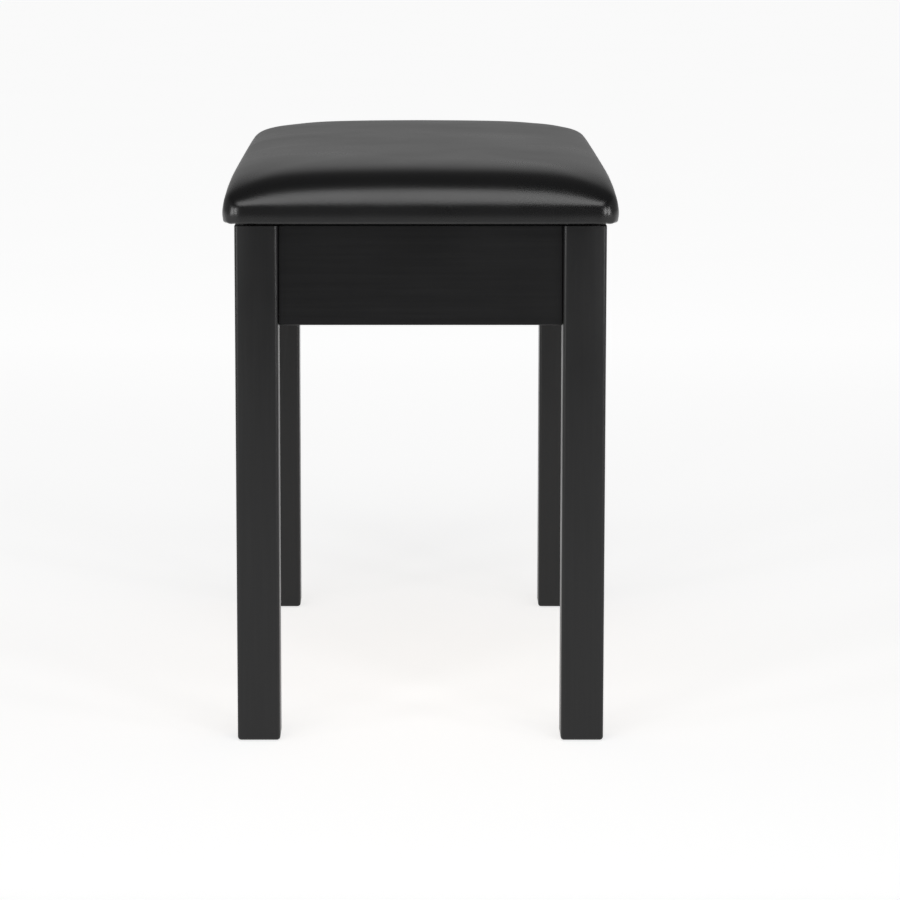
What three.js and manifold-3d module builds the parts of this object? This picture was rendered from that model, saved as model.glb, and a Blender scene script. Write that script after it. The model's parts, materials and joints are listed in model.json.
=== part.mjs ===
// Piano bench with a hinged seat over a storage compartment.
// Millimetres, +Z up. X runs across the bench, Y along it. The origin is on the floor, midway
// between the legs. The seat hinges along its +X side. "near" is -Y and "left" is -X.

import * as THREE from 'three';
import { mergeVertices } from 'three/addons/utils/BufferGeometryUtils.js';
import Module from 'manifold-3d';

const wasm = await Module();
wasm.setup();

// ---- driving dimensions ----

const FRAME_X = 326; // across the outer faces of the legs
const FRAME_Y = 652; // along the outer faces of the legs
const LEG = 38; // side of a leg's square section
const LEG_TOP = 461.5;
const LEG_EASE = 3; // rounding of a leg's edges and of its foot
const TOP_EASE = 0.6; // chamfer round the top of a leg
const FOOT_LIFT = 0.8; // how far a glide stands proud of the foot
const GAP = 0.3; // clearance between pieces that touch

const APRON_SETBACK = 6; // apron's outer face behind the face of the leg
const APRON_THICK = 15;
const APRON_BOTTOM = 373;
const APRON_EASE = 1;
const INNER_X = FRAME_X / 2 - APRON_SETBACK - APRON_THICK; // long apron's inner face
const INNER_Y = FRAME_Y / 2 - APRON_SETBACK - APRON_THICK; // short apron's inner face

const PANEL_BOTTOM = 381;
const PANEL_THICK = 4;
const GROOVE_DEPTH = 5;

const SEAT_X = 346; // seat at its widest
const SEAT_Y = 672;
const SEAT_BOTTOM = 463;
const SEAT_EDGE = 8; // rounding of the seat's lower edge
const SIDE_TOP = 477.5; // top of the upright side of the seat
const ROLL_RISE = 21.5; // height that the cover gains as it rolls over the foam's edge
const ROLL_REACH = 2.8; // distance in which what is left of that height falls by a factor e
const CROWN_RISE = 15.5; // height of the crown above the roll
const CROWN_REACH = 20; // as ROLL_REACH, for the crown
const SEAT_CORNER = 16; // radius of the seat's corners in plan, up to the top of the side
const CROWN_CORNER = 110; // how much rounder the corners get over the crown
const CORNER_REACH = 7;
const COVER_THICK = 1.2;
const HEM = 41; // width of the cover turned under the board, from the seat's edge
const BOARD_THICK = 12;
const BOARD_TOP = SEAT_BOTTOM + COVER_THICK + GAP + BOARD_THICK;
const LINING_THICK = 0.8;

const HINGE_X = FRAME_X / 2; // axis of the seat's hinges
const HINGE_DROP = 2.8; // distance of the hinges' axis below the seat
const HINGE_Z = SEAT_BOTTOM - HINGE_DROP;
const HINGE_LENGTH = 60;
const HINGE_PLACE = 200; // distance of each hinge from the middle of the bench
const LEAF_THICK = 1.2;
const LEAF_WIDTH = 20;
const KNUCKLE_R = 2.5;
const PIN_R = 1.2;
const KNUCKLES = 5;
const LEAF_SCREW = 13.5; // distance of the screws from the hinge's axis
const SCREW_LENGTH = 9;
const FRAME_SCREWS = 20; // distance of a frame leaf's screws from the middle of the leaf
const LID_SCREWS = 11;

const OPEN_ANGLE = 80 * Math.PI / 180; // the stays stop the seat here
const STAY_FRAME_PIVOT = new THREE.Vector2(62, 422.5); // X and Z with the seat closed
const STAY_LID_PIVOT = new THREE.Vector2(63, 450.2);
const ARM_WIDTH = 14;
const ARM_THICK = 2;
const STUD_R = 3;
const RIVET_HEAD_R = 5.5;
const RIVET_HEAD_THICK = 1.2;

// ---- materials ----

function satinBlackLacquer() {
  return new THREE.MeshStandardMaterial({ color: 0x17181a, roughness: 0.38, metalness: 0 });
}

function blackLeatherette() {
  return new THREE.MeshStandardMaterial({ color: 0x141416, roughness: 0.42, metalness: 0 });
}

function bareWood() {
  return new THREE.MeshStandardMaterial({ color: 0xc19a6b, roughness: 0.7, metalness: 0 });
}

function yellowedFoam() {
  return new THREE.MeshStandardMaterial({ color: 0xd9c98e, roughness: 0.95, metalness: 0 });
}

function blackLiningCloth() {
  return new THREE.MeshStandardMaterial({ color: 0x1c1c1e, roughness: 0.95, metalness: 0 });
}

function zincSteel() {
  return new THREE.MeshStandardMaterial({ color: 0xa9abad, roughness: 0.35, metalness: 1 });
}

function brassPlate() {
  return new THREE.MeshStandardMaterial({ color: 0xb08d4a, roughness: 0.3, metalness: 1 });
}

function blackRubber() {
  return new THREE.MeshStandardMaterial({ color: 0x1a1a1a, roughness: 0.85, metalness: 0 });
}

function blackNylon() {
  return new THREE.MeshStandardMaterial({ color: 0x101010, roughness: 0.5, metalness: 0 });
}

// ---- geometry helpers ----

function toSolid(geometry) {
  const bare = geometry.clone();
  bare.deleteAttribute('normal');
  bare.deleteAttribute('uv');
  const merged = mergeVertices(bare, 1e-4);
  return new wasm.Manifold(new wasm.Mesh({
    numProp: 3,
    vertProperties: new Float32Array(merged.attributes.position.array),
    triVerts: new Uint32Array(merged.index.array),
  }));
}

function toGeometry(solid) {
  const result = solid.getMesh();
  const geometry = new THREE.BufferGeometry();
  geometry.setAttribute('position', new THREE.BufferAttribute(result.vertProperties, 3));
  geometry.setIndex(new THREE.BufferAttribute(result.triVerts, 1));
  geometry.computeVertexNormals();
  return geometry;
}

function join(first, ...others) {
  return toGeometry(others.reduce((sum, other) => sum.add(toSolid(other)), toSolid(first)));
}

function cut(blank, ...tools) {
  return toGeometry(tools.reduce((rest, tool) => rest.subtract(toSolid(tool)), toSolid(blank)));
}

function place(name, geometry, material, x = 0, y = 0, z = 0) {
  const mesh = new THREE.Mesh(geometry, material);
  mesh.name = name;
  mesh.position.set(x, y, z);
  return mesh;
}

function box(sizeX, sizeY, sizeZ, x, y, z) {
  return new THREE.BoxGeometry(sizeX, sizeY, sizeZ).translate(x, y, z);
}

// Points round a rectangle with rounded corners, anticlockwise.
function roundedOutline(halfX, halfY, radius, steps) {
  const centres = [[1, 1], [-1, 1], [-1, -1], [1, -1]];
  return centres.flatMap(([signX, signY], corner) =>
    Array.from({ length: steps + 1 }, (_, step) => {
      const angle = (corner + step / steps) * Math.PI / 2;
      return new THREE.Vector2(
        signX * (halfX - radius) + radius * Math.cos(angle),
        signY * (halfY - radius) + radius * Math.sin(angle),
      );
    }));
}

// A closed skin over a stack of outlines, from the lowest up, with the same number of points.
function loft(rings) {
  const count = rings[0].length;
  const vertices = rings.flat().flatMap((point) => [point.x, point.y, point.z]);
  const triangles = [];
  const top = (rings.length - 1) * count;
  for (let below = 0; below < top; below += count) {
    const above = below + count;
    for (let i = 0; i < count; i += 1) {
      const next = (i + 1) % count;
      triangles.push(below + i, below + next, above + next);
      triangles.push(below + i, above + next, above + i);
    }
  }
  for (let i = 1; i < count - 1; i += 1) {
    triangles.push(0, i + 1, i);
    triangles.push(top, top + i, top + i + 1);
  }
  const geometry = new THREE.BufferGeometry();
  geometry.setAttribute('position', new THREE.Float32BufferAttribute(vertices, 3));
  geometry.setIndex(triangles);
  geometry.computeVertexNormals();
  return geometry;
}

function ringAt(outline, z) {
  return outline.map((point) => new THREE.Vector3(point.x, point.y, z));
}

// A solid of revolution about +Z from points of radius and height.
function turned(profile, segments) {
  const points = profile.map(([radius, height]) => new THREE.Vector2(radius, height));
  return new THREE.LatheGeometry(points, segments).rotateX(Math.PI / 2);
}

function cylinder(radius, low, high, segments) {
  return turned([[0, low], [radius, low], [radius, high], [0, high]], segments);
}

function extruded(outline, depth, holes = []) {
  const shape = new THREE.Shape(outline);
  shape.holes = holes;
  return new THREE.ExtrudeGeometry(shape, { depth, bevelEnabled: false, curveSegments: 10 });
}

function roundHole(x, y, radius) {
  const hole = new THREE.Path();
  hole.absarc(x, y, radius, 0, Math.PI * 2, true);
  return hole;
}

// ---- legs and the hardware of each corner, drawn for the corner at +X +Y ----

const LEG_X = FRAME_X / 2 - LEG / 2;
const LEG_Y = FRAME_Y / 2 - LEG / 2;
const GLIDE_R = 11;
const GLIDE_THICK = 2.2;
const GLIDE_EASE = 1.4; // width of the chamfer round a glide's sole
const GLIDE_STEM = 16; // height of the tip of a glide's stem
const BUMPER_R = 5.5;
const BOLT_Z = 412;
const BOLT_R = 4;
const BOLT_LENGTH = 58;
const BOLT_POINT = 7; // length of the bolt's tapered tip
const BOLT_TIP = 8; // how far the bolt's tip lies beyond the leg's middle line
const BRACKET_Z = 392;
const BRACKET_HEIGHT = 40;
const BRACKET_THICK = 2;
const BRACKET_LEG_CLEARANCE = 43; // where the web meets an apron, from the frame's inner corner
const FLANGE = 21;

function legBlank() {
  const rings = [];
  const steps = 3;
  for (let step = 0; step <= steps; step += 1) {
    const angle = step / steps * Math.PI / 2;
    const inset = LEG_EASE * (1 - Math.sin(angle));
    const outline = roundedOutline(LEG / 2 - inset, LEG / 2 - inset, LEG_EASE - 0.8 * inset, 4);
    rings.push(ringAt(outline, FOOT_LIFT + LEG_EASE * (1 - Math.cos(angle))));
  }
  const top = LEG / 2 - TOP_EASE;
  rings.push(ringAt(roundedOutline(LEG / 2, LEG / 2, LEG_EASE, 4), LEG_TOP - TOP_EASE));
  rings.push(ringAt(roundedOutline(top, top, LEG_EASE - TOP_EASE, 4), LEG_TOP));
  return loft(rings);
}

// A round sole let into the foot, with a stem. Grown by a clearance it is its own socket.
function glide(grow) {
  const top = GLIDE_THICK + grow;
  const stemR = 2 + grow;
  return turned([
    [0, -grow], [GLIDE_R - GLIDE_EASE, -grow], [GLIDE_R + grow, FOOT_LIFT], [GLIDE_R + grow, top],
    [stemR, top], [stemR, GLIDE_STEM - 2 + grow], [0, GLIDE_STEM + grow],
  ], 16);
}

// A bolt with its point at the origin. Grown by a clearance it is its own bore.
function hangerBolt(grow) {
  const radius = BOLT_R + grow;
  const chamfer = 1;
  return turned([
    [0, -grow], [radius, BOLT_POINT - grow], [radius, BOLT_LENGTH - chamfer],
    [radius - chamfer, BOLT_LENGTH], [0, BOLT_LENGTH],
  ], 12);
}

// Turns a shape drawn along +Z to point from the leg into the frame, and moves its base to a
// distance from the leg's middle line, away from the frame.
function alongDiagonal(geometry, outward) {
  const shift = outward / Math.SQRT2;
  return geometry.rotateY(-Math.PI / 2).rotateZ(Math.PI / 4).translate(shift, shift, BOLT_Z);
}

function leg() {
  const bore = alongDiagonal(hangerBolt(GAP), BOLT_TIP);
  return cut(legBlank(), glide(GAP), bore);
}

function bumper() {
  const height = SEAT_BOTTOM - LEG_TOP - 2 * GAP;
  const topR = BUMPER_R - 1.5;
  return turned([[0, 0], [BUMPER_R, 0], [BUMPER_R, height / 2], [topR, height], [0, height]], 12);
}

// A steel plate bent across the corner: a flange on each apron and a web between them.
function cornerBracket() {
  const face = LEG_X - INNER_X + GAP; // gap to the aprons' inner faces, from the leg's middle
  const bend = LEG_X - INNER_X + BRACKET_LEG_CLEARANCE;
  const end = bend + FLANGE;
  const back = face + BRACKET_THICK;
  const backBend = bend + BRACKET_THICK * Math.tan(Math.PI / 8);
  const outline = [
    [face, end], [face, bend], [bend, face], [end, face],
    [end, back], [backBend, back], [back, backBend], [back, end],
  ].map(([x, y]) => new THREE.Vector2(-x, -y));
  const plate = extruded(outline, BRACKET_HEIGHT).translate(0, 0, BRACKET_Z);
  const hole = alongDiagonal(cylinder(BOLT_R + GAP, 0, BOLT_LENGTH, 12), 0);
  return cut(plate, hole);
}

// A wing nut with its seat at the origin and its wings at a slant.
function wingNut() {
  const height = 8;
  const wingThick = 3;
  const slant = Math.PI / 5;
  const boss = turned([[0, 0], [8, 0], [6.5, height], [0, height]], 16);
  const wing = [[4, 2], [7, 2], [16, 9], [17, 13], [14, 14], [5, 7.5]];
  const wings = [1, -1].map((side) => {
    const outline = wing.map(([x, y]) => new THREE.Vector2(side * x, y));
    return extruded(outline, wingThick)
      .translate(0, 0, -wingThick / 2)
      .rotateX(Math.PI / 2)
      .rotateZ(slant);
  });
  return cut(join(boss, ...wings), cylinder(BOLT_R + GAP, -height, 2 * height, 12));
}

function corner(name, quarterTurns, signX, signY) {
  const group = new THREE.Group();
  group.position.set(signX * LEG_X, signY * LEG_Y, 0);
  group.rotation.z = quarterTurns * Math.PI / 2;
  const apronFace = LEG_X - INNER_X;
  const web = (2 * apronFace + GAP + BRACKET_LEG_CLEARANCE) / Math.SQRT2;
  const nutSeat = web + BRACKET_THICK + GAP;
  const bumperShift = 6;
  group.add(
    place(`leg_${name}`, leg(), satinBlackLacquer()),
    place(`glide_${name}`, glide(0), blackNylon()),
    place(`bumper_${name}`, bumper(), blackRubber(), bumperShift, bumperShift, LEG_TOP + GAP),
    place(`corner_bracket_${name}`, cornerBracket(), zincSteel()),
    place(`hanger_bolt_${name}`, alongDiagonal(hangerBolt(0), BOLT_TIP), zincSteel()),
    place(`wing_nut_${name}`, alongDiagonal(wingNut(), -nutSeat), zincSteel()),
  );
  return group;
}

// ---- screws of the hinges ----

// A countersunk screw, head up, with its leaf's far face at the origin.
// Grown by a clearance it is its own hole.
function screw(grow) {
  const shankR = 1.2 + grow;
  const headR = 2.4 + grow;
  const top = LEAF_THICK + grow;
  return turned([
    [0, -SCREW_LENGTH - grow], [shankR, 2 - SCREW_LENGTH], [shankR, 0],
    [headR, LEAF_THICK], [headR, top], [0, top],
  ], 8);
}

// ---- aprons and the storage floor ----

// A board on edge along X, with eased long edges.
function apronBlank(length) {
  const height = LEG_TOP - APRON_BOTTOM;
  const outline = roundedOutline(APRON_THICK / 2, height / 2, APRON_EASE, 1);
  return extruded(outline, length)
    .translate(0, height / 2, -length / 2)
    .rotateX(Math.PI / 2)
    .rotateZ(Math.PI / 2)
    .translate(0, 0, APRON_BOTTOM);
}

// The groove for the floor panel, in the face at -Y of an apron that lies along X.
function panelGroove(length) {
  const height = PANEL_THICK + 2 * GAP;
  const middle = PANEL_BOTTOM + PANEL_THICK / 2;
  return box(length + 2, 2 * GROOVE_DEPTH, height, 0, -APRON_THICK / 2, middle);
}

// Mortises and screw holes for the hinges, in the top edge of an apron with its middle at x.
function hingeMortises(x) {
  const leafBottom = HINGE_Z - KNUCKLE_R;
  const depth = 10;
  return [-HINGE_PLACE, HINGE_PLACE].flatMap((y) => [
    box(2 * APRON_THICK, HINGE_LENGTH + 2 * GAP, depth, 0, y, leafBottom - GAP + depth / 2),
    ...[-FRAME_SCREWS, FRAME_SCREWS].map((offset) =>
      screw(GAP).translate(HINGE_X - LEAF_SCREW - x, y + offset, leafBottom)),
  ]);
}

function longApron(side) {
  const length = FRAME_Y - 2 * LEG - 2 * GAP;
  const middle = INNER_X + APRON_THICK / 2;
  const turnToSide = -side * Math.PI / 2;
  const blank = apronBlank(length).rotateZ(turnToSide);
  const tools = [panelGroove(length).rotateZ(turnToSide)];
  if (side > 0) {
    tools.push(...hingeMortises(middle));
  }
  return cut(blank, ...tools);
}

function shortApron(side) {
  const length = FRAME_X - 2 * LEG - 2 * GAP;
  const turnToSide = side > 0 ? 0 : Math.PI;
  const blank = apronBlank(length).rotateZ(turnToSide);
  return cut(blank, panelGroove(length).rotateZ(turnToSide));
}

// The floor panel, notched round the legs.
function storageFloor() {
  const halfX = INNER_X + GROOVE_DEPTH - GAP;
  const halfY = INNER_Y + GROOVE_DEPTH - GAP;
  const clearance = 1;
  const notchX = FRAME_X / 2 - LEG - clearance;
  const notchY = FRAME_Y / 2 - LEG - clearance;
  const shape = new THREE.Shape();
  shape.moveTo(notchX, halfY);
  shape.lineTo(-notchX, halfY).lineTo(-notchX, notchY).lineTo(-halfX, notchY);
  shape.lineTo(-halfX, -notchY).lineTo(-notchX, -notchY).lineTo(-notchX, -halfY);
  shape.lineTo(notchX, -halfY).lineTo(notchX, -notchY).lineTo(halfX, -notchY);
  shape.lineTo(halfX, notchY).lineTo(notchX, notchY);
  return new THREE.ExtrudeGeometry(shape, { depth: PANEL_THICK, bevelEnabled: false });
}

function frame() {
  const group = new THREE.Group();
  const longMiddle = INNER_X + APRON_THICK / 2;
  const shortMiddle = INNER_Y + APRON_THICK / 2;
  group.add(
    corner('far_right', 0, 1, 1),
    corner('far_left', 1, -1, 1),
    corner('near_left', 2, -1, -1),
    corner('near_right', 3, 1, -1),
    place('apron_long_left', longApron(-1), satinBlackLacquer(), -longMiddle),
    place('apron_long_right', longApron(1), satinBlackLacquer(), longMiddle),
    place('apron_short_near', shortApron(-1), satinBlackLacquer(), 0, -shortMiddle),
    place('apron_short_far', shortApron(1), satinBlackLacquer(), 0, shortMiddle),
    place('storage_floor', storageFloor(), bareWood(), 0, 0, PANEL_BOTTOM),
  );
  return group;
}

// ---- seat ----

// The section of the cover's outer face, from the hem's raw edge to the middle of the crown.
// Each point has an inset from the seat's widest outline, a height and a corner radius in plan.
function seatSection() {
  const points = [[HEM, SEAT_BOTTOM, HEM], [HEM / 2, SEAT_BOTTOM, HEM / 2]];
  for (const degrees of [30, 50, 70, 90]) {
    const angle = degrees * Math.PI / 180;
    const inset = SEAT_EDGE * (1 - Math.sin(angle));
    points.push([inset, SEAT_BOTTOM + SEAT_EDGE * (1 - Math.cos(angle)), SEAT_CORNER]);
  }
  for (const inset of [0, 0.6, 1.4, 2.4, 4, 6, 9, 14, 22, 34, 52, 80, 130]) {
    const roll = ROLL_RISE * (1 - Math.exp(-inset / ROLL_REACH));
    const crown = CROWN_RISE * (1 - Math.exp(-inset / CROWN_REACH));
    const rounder = CROWN_CORNER * (1 - Math.exp(-inset / CORNER_REACH));
    const roundest = SEAT_X / 2 - inset - 1;
    points.push([inset, SIDE_TOP + roll + crown, Math.min(SEAT_CORNER + rounder, roundest)]);
  }
  return points.map((point) => new THREE.Vector3(...point));
}

// Moves a section inwards, away from the outer face, by a thickness.
function insideOf(section, thickness) {
  return section.map((point, i) => {
    const before = section[Math.max(i - 1, 0)];
    const after = section[Math.min(i + 1, section.length - 1)];
    const along = new THREE.Vector2(after.x - before.x, after.y - before.y).normalize();
    const shift = new THREE.Vector3(along.y, -along.x, 0).multiplyScalar(thickness);
    return point.clone().add(shift);
  });
}

function seatRing(point) {
  const outline = roundedOutline(SEAT_X / 2 - point.x, SEAT_Y / 2 - point.x, point.z, 5);
  return ringAt(outline, point.y);
}

// Holes through the hem and into the board for the screws of the hinges.
function lidScrewHoles() {
  return [-HINGE_PLACE, HINGE_PLACE].flatMap((y) =>
    [-LID_SCREWS, LID_SCREWS].map((offset) => screw(GAP)
      .rotateX(Math.PI)
      .translate(HINGE_X - LEAF_SCREW, y + offset, HINGE_Z + KNUCKLE_R)));
}

// A skin that is open below, inside the hem's raw edge.
function seatCover() {
  const section = seatSection();
  const inside = insideOf(section, COVER_THICK).map(seatRing);
  const hollow = loft([ringAt(inside[0], SEAT_BOTTOM - 1), ...inside]);
  return cut(loft(section.map(seatRing)), hollow, ...lidScrewHoles());
}

// What the cover is stretched over: the board up to BOARD_TOP and the foam above it.
function seatCore() {
  return insideOf(seatSection(), COVER_THICK + GAP);
}

function seatBoard() {
  const section = seatCore().filter((point) => point.y < BOARD_TOP).slice(1);
  const rim = section[section.length - 1];
  const blank = loft([...section.map(seatRing), ringAt(seatRing(rim), BOARD_TOP)]);
  return cut(blank, ...lidScrewHoles());
}

function seatFoam() {
  const section = seatCore().filter((point) => point.y > BOARD_TOP + GAP);
  return loft([ringAt(seatRing(section[0]), BOARD_TOP + GAP), ...section.map(seatRing)]);
}

function seatLining() {
  const margin = 4;
  const cornerR = 3;
  return extruded(roundedOutline(INNER_X - margin, INNER_Y - margin, cornerR, 2), LINING_THICK);
}

function seat() {
  const group = new THREE.Group();
  group.add(
    place('seat_cover', seatCover(), blackLeatherette()),
    place('seat_foam', seatFoam(), yellowedFoam()),
    place('seat_board', seatBoard(), bareWood()),
    place('seat_lining', seatLining(), blackLiningCloth(), 0, 0, SEAT_BOTTOM - GAP - LINING_THICK),
  );
  return group;
}

// ---- hinges ----

// A leaf with its share of the knuckles, axis along Y through the origin and plate towards -X.
// The plate lies level with the top (side 1) or the bottom (side -1) of the knuckles.
function leaf(side, isMyKnuckle, screwOffsets) {
  const plateMiddle = side * (KNUCKLE_R - LEAF_THICK / 2);
  const pitch = HINGE_LENGTH / KNUCKLES;
  let body = box(LEAF_WIDTH, HINGE_LENGTH, LEAF_THICK, -LEAF_WIDTH / 2, 0, plateMiddle);
  const tools = [];
  for (let knuckle = 0; knuckle < KNUCKLES; knuckle += 1) {
    const low = -HINGE_LENGTH / 2 + knuckle * pitch;
    if (isMyKnuckle(knuckle)) {
      const barrel = cylinder(KNUCKLE_R, low + GAP, low + pitch - GAP, 12).rotateX(-Math.PI / 2);
      body = join(body, barrel);
    } else {
      const wide = 2 * (KNUCKLE_R + GAP);
      tools.push(box(wide, pitch + 2 * GAP, wide, 0, low + pitch / 2, 0));
    }
  }
  tools.push(cylinder(PIN_R + GAP, -HINGE_LENGTH, HINGE_LENGTH, 12).rotateX(-Math.PI / 2));
  for (const offset of screwOffsets) {
    const hole = side > 0 ? screw(GAP).rotateX(Math.PI) : screw(GAP);
    tools.push(hole.translate(-LEAF_SCREW, offset, side * KNUCKLE_R));
  }
  return cut(body, ...tools);
}

// A pin with a head at each end.
function hingePin() {
  const headR = KNUCKLE_R - 0.5;
  const inner = HINGE_LENGTH / 2 + GAP;
  const outer = inner + 1.2;
  return turned([
    [0, -outer], [headR, -outer], [headR, -inner], [PIN_R, -inner],
    [PIN_R, inner], [headR, inner], [headR, outer], [0, outer],
  ], 12).rotateX(-Math.PI / 2);
}

function hinge(name, y) {
  const group = new THREE.Group();
  group.position.set(HINGE_X, y, HINGE_Z);
  const isEven = (knuckle) => knuckle % 2 === 0;
  const isOdd = (knuckle) => knuckle % 2 === 1;
  const frameScrews = [-FRAME_SCREWS, FRAME_SCREWS];
  const lidScrews = [-LID_SCREWS, LID_SCREWS];
  group.add(
    place(`hinge_leaf_frame_${name}`, leaf(-1, isEven, frameScrews), brassPlate()),
    place(`hinge_leaf_lid_${name}`, leaf(1, isOdd, lidScrews), brassPlate()),
    place(`hinge_pin_${name}`, hingePin(), brassPlate()),
  );
  frameScrews.forEach((offset, i) => group.add(
    place(`screw_frame_${name}_${i + 1}`, screw(0), brassPlate(), -LEAF_SCREW, offset, -KNUCKLE_R),
  ));
  lidScrews.forEach((offset, i) => group.add(place(
    `screw_lid_${name}_${i + 1}`, screw(0).rotateX(Math.PI), brassPlate(),
    -LEAF_SCREW, offset, KNUCKLE_R,
  )));
  return group;
}

// ---- lid stays ----

// A stay lies beside a short apron, drawn in a group whose x is X, y is Z and z is -Y. With the
// hinge's axis its three pivots make a parallelogram, so the lower arm turns with the seat and
// the upper arm keeps its slope.
const KNEE = STAY_FRAME_PIVOT.clone().add(STAY_LID_PIVOT).sub(new THREE.Vector2(HINGE_X, HINGE_Z));

// The layers of a stay: distance of each from the apron's inner face.
const BRACKET_LAYER = GAP;
const LOWER_LAYER = BRACKET_LAYER + ARM_THICK + GAP;
const UPPER_LAYER = LOWER_LAYER + ARM_THICK + GAP;
const LID_LAYER = UPPER_LAYER + ARM_THICK + GAP;

// A slab of an outline from a layer inwards, on the near side (1) or the far side (-1).
function slab(outline, side, layer, thickness, holes = []) {
  const middle = side * (INNER_Y - layer - thickness / 2);
  return extruded(outline, thickness, holes).translate(0, 0, middle - thickness / 2);
}

function disc(centre, radius, side, layer, thickness) {
  const middle = side * (INNER_Y - layer - thickness / 2);
  return cylinder(radius, -thickness / 2, thickness / 2, 16).translate(centre.x, centre.y, middle);
}

// An arm's outline, round at both ends, from one pivot to another.
function armOutline(from, to) {
  const slope = Math.atan2(to.y - from.y, to.x - from.x);
  const steps = 8;
  const points = [];
  for (const [end, start] of [[to, slope - Math.PI / 2], [from, slope + Math.PI / 2]]) {
    for (let step = 0; step <= steps; step += 1) {
      const angle = start + step / steps * Math.PI;
      points.push(new THREE.Vector2(
        end.x + ARM_WIDTH / 2 * Math.cos(angle),
        end.y + ARM_WIDTH / 2 * Math.sin(angle),
      ));
    }
  }
  return points;
}

function pivotHoles(from, to) {
  return [from, to].map((end) => roundHole(end.x, end.y, STUD_R + GAP));
}

// A finger at the lower arm's knee with a lug bent across the upper arm, which meets the lug
// when the seat is fully open. It is drawn in the closed position.
function stopLug(side) {
  const upperSlope = Math.atan2(STAY_LID_PIVOT.y - KNEE.y, STAY_LID_PIVOT.x - KNEE.x);
  const slope = upperSlope + OPEN_ANGLE;
  const turnToArm = (geometry) => geometry.rotateZ(slope).translate(KNEE.x, KNEE.y, 0);
  const reach = 14; // from the knee to the tip of the finger
  const fingerLength = 10;
  const fingerWidth = 6;
  const lugLength = 6;
  const lugDepth = 2 * ARM_THICK + GAP;
  const edge = ARM_WIDTH / 2 + GAP + ARM_THICK; // outer edge of the finger and of the lug
  const fingerMiddle = side * (INNER_Y - LOWER_LAYER - ARM_THICK / 2);
  const lugMiddle = side * (INNER_Y - LOWER_LAYER - lugDepth / 2);
  return [
    turnToArm(box(fingerLength, fingerWidth, ARM_THICK, reach - fingerLength / 2,
      edge - fingerWidth / 2, fingerMiddle)),
    turnToArm(box(lugLength, ARM_THICK, lugDepth, reach - lugLength / 2,
      edge - ARM_THICK / 2, lugMiddle)),
  ];
}

function lowerArm(side) {
  const holes = pivotHoles(STAY_FRAME_PIVOT, KNEE);
  const arm = slab(armOutline(STAY_FRAME_PIVOT, KNEE), side, LOWER_LAYER, ARM_THICK, holes);
  return join(arm, ...stopLug(side));
}

function upperArm(side) {
  const holes = pivotHoles(KNEE, STAY_LID_PIVOT);
  return slab(armOutline(KNEE, STAY_LID_PIVOT), side, UPPER_LAYER, ARM_THICK, holes);
}

function frameBracket(side) {
  const halfWidth = 9;
  const halfHeight = 24;
  const cornerR = 4;
  const outline = roundedOutline(halfWidth, halfHeight, cornerR, 3)
    .map((point) => point.add(STAY_FRAME_PIVOT));
  const plate = slab(outline, side, BRACKET_LAYER, ARM_THICK);
  const stud = disc(STAY_FRAME_PIVOT, STUD_R, side, ARM_THICK, UPPER_LAYER - ARM_THICK + 1);
  const head = disc(STAY_FRAME_PIVOT, RIVET_HEAD_R, side, UPPER_LAYER, RIVET_HEAD_THICK);
  return join(plate, stud, head);
}

function lidBracket(side) {
  const flangeTop = SEAT_BOTTOM - 2 * GAP - LINING_THICK;
  const flangeDepth = 26;
  const halfWidth = 18;
  const tip = 8; // the upright's reach below the pivot, and half its width there
  const pivot = STAY_LID_PIVOT;
  const outline = [
    new THREE.Vector2(pivot.x - tip, pivot.y - tip),
    new THREE.Vector2(pivot.x + tip, pivot.y - tip),
    new THREE.Vector2(pivot.x + halfWidth, flangeTop),
    new THREE.Vector2(pivot.x - halfWidth, flangeTop),
  ];
  const upright = slab(outline, side, LID_LAYER, ARM_THICK);
  const flangeMiddle = side * (INNER_Y - LID_LAYER - flangeDepth / 2);
  const flangeY = flangeTop - ARM_THICK / 2;
  const flange = box(2 * halfWidth, ARM_THICK, flangeDepth, pivot.x, flangeY, flangeMiddle);
  const headLayer = UPPER_LAYER - GAP - RIVET_HEAD_THICK;
  const stud = disc(pivot, STUD_R, side, headLayer, LID_LAYER + 1 - headLayer);
  const head = disc(pivot, RIVET_HEAD_R, side, headLayer, RIVET_HEAD_THICK);
  return join(upright, flange, stud, head);
}

function kneeRivet(side) {
  const outerHead = LOWER_LAYER - GAP - RIVET_HEAD_THICK;
  const length = LID_LAYER + RIVET_HEAD_THICK - outerHead;
  return join(
    disc(KNEE, STUD_R, side, outerHead, length),
    disc(KNEE, RIVET_HEAD_R, side, outerHead, RIVET_HEAD_THICK),
    disc(KNEE, RIVET_HEAD_R, side, LID_LAYER, RIVET_HEAD_THICK),
  );
}

function stay(name, side) {
  const group = new THREE.Group();
  group.rotation.x = Math.PI / 2;
  group.add(
    place(`stay_frame_bracket_${name}`, frameBracket(side), zincSteel()),
    place(`stay_lower_arm_${name}`, lowerArm(side), zincSteel()),
    place(`stay_knee_rivet_${name}`, kneeRivet(side), zincSteel()),
    place(`stay_upper_arm_${name}`, upperArm(side), zincSteel()),
    place(`stay_lid_bracket_${name}`, lidBracket(side), zincSteel()),
  );
  return group;
}

// ---- bench ----

function bench() {
  const group = new THREE.Group();
  group.add(
    frame(),
    seat(),
    hinge('near', -HINGE_PLACE),
    hinge('far', HINGE_PLACE),
    stay('near', 1),
    stay('far', -1),
  );
  return group;
}

export default bench();
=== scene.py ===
"""Piano bench: the looks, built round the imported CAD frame. Metres, +Z up, X across the bench."""

import json
import math
import random

import bmesh
import bpy
import numpy as np
from mathutils import Matrix, Vector


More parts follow.
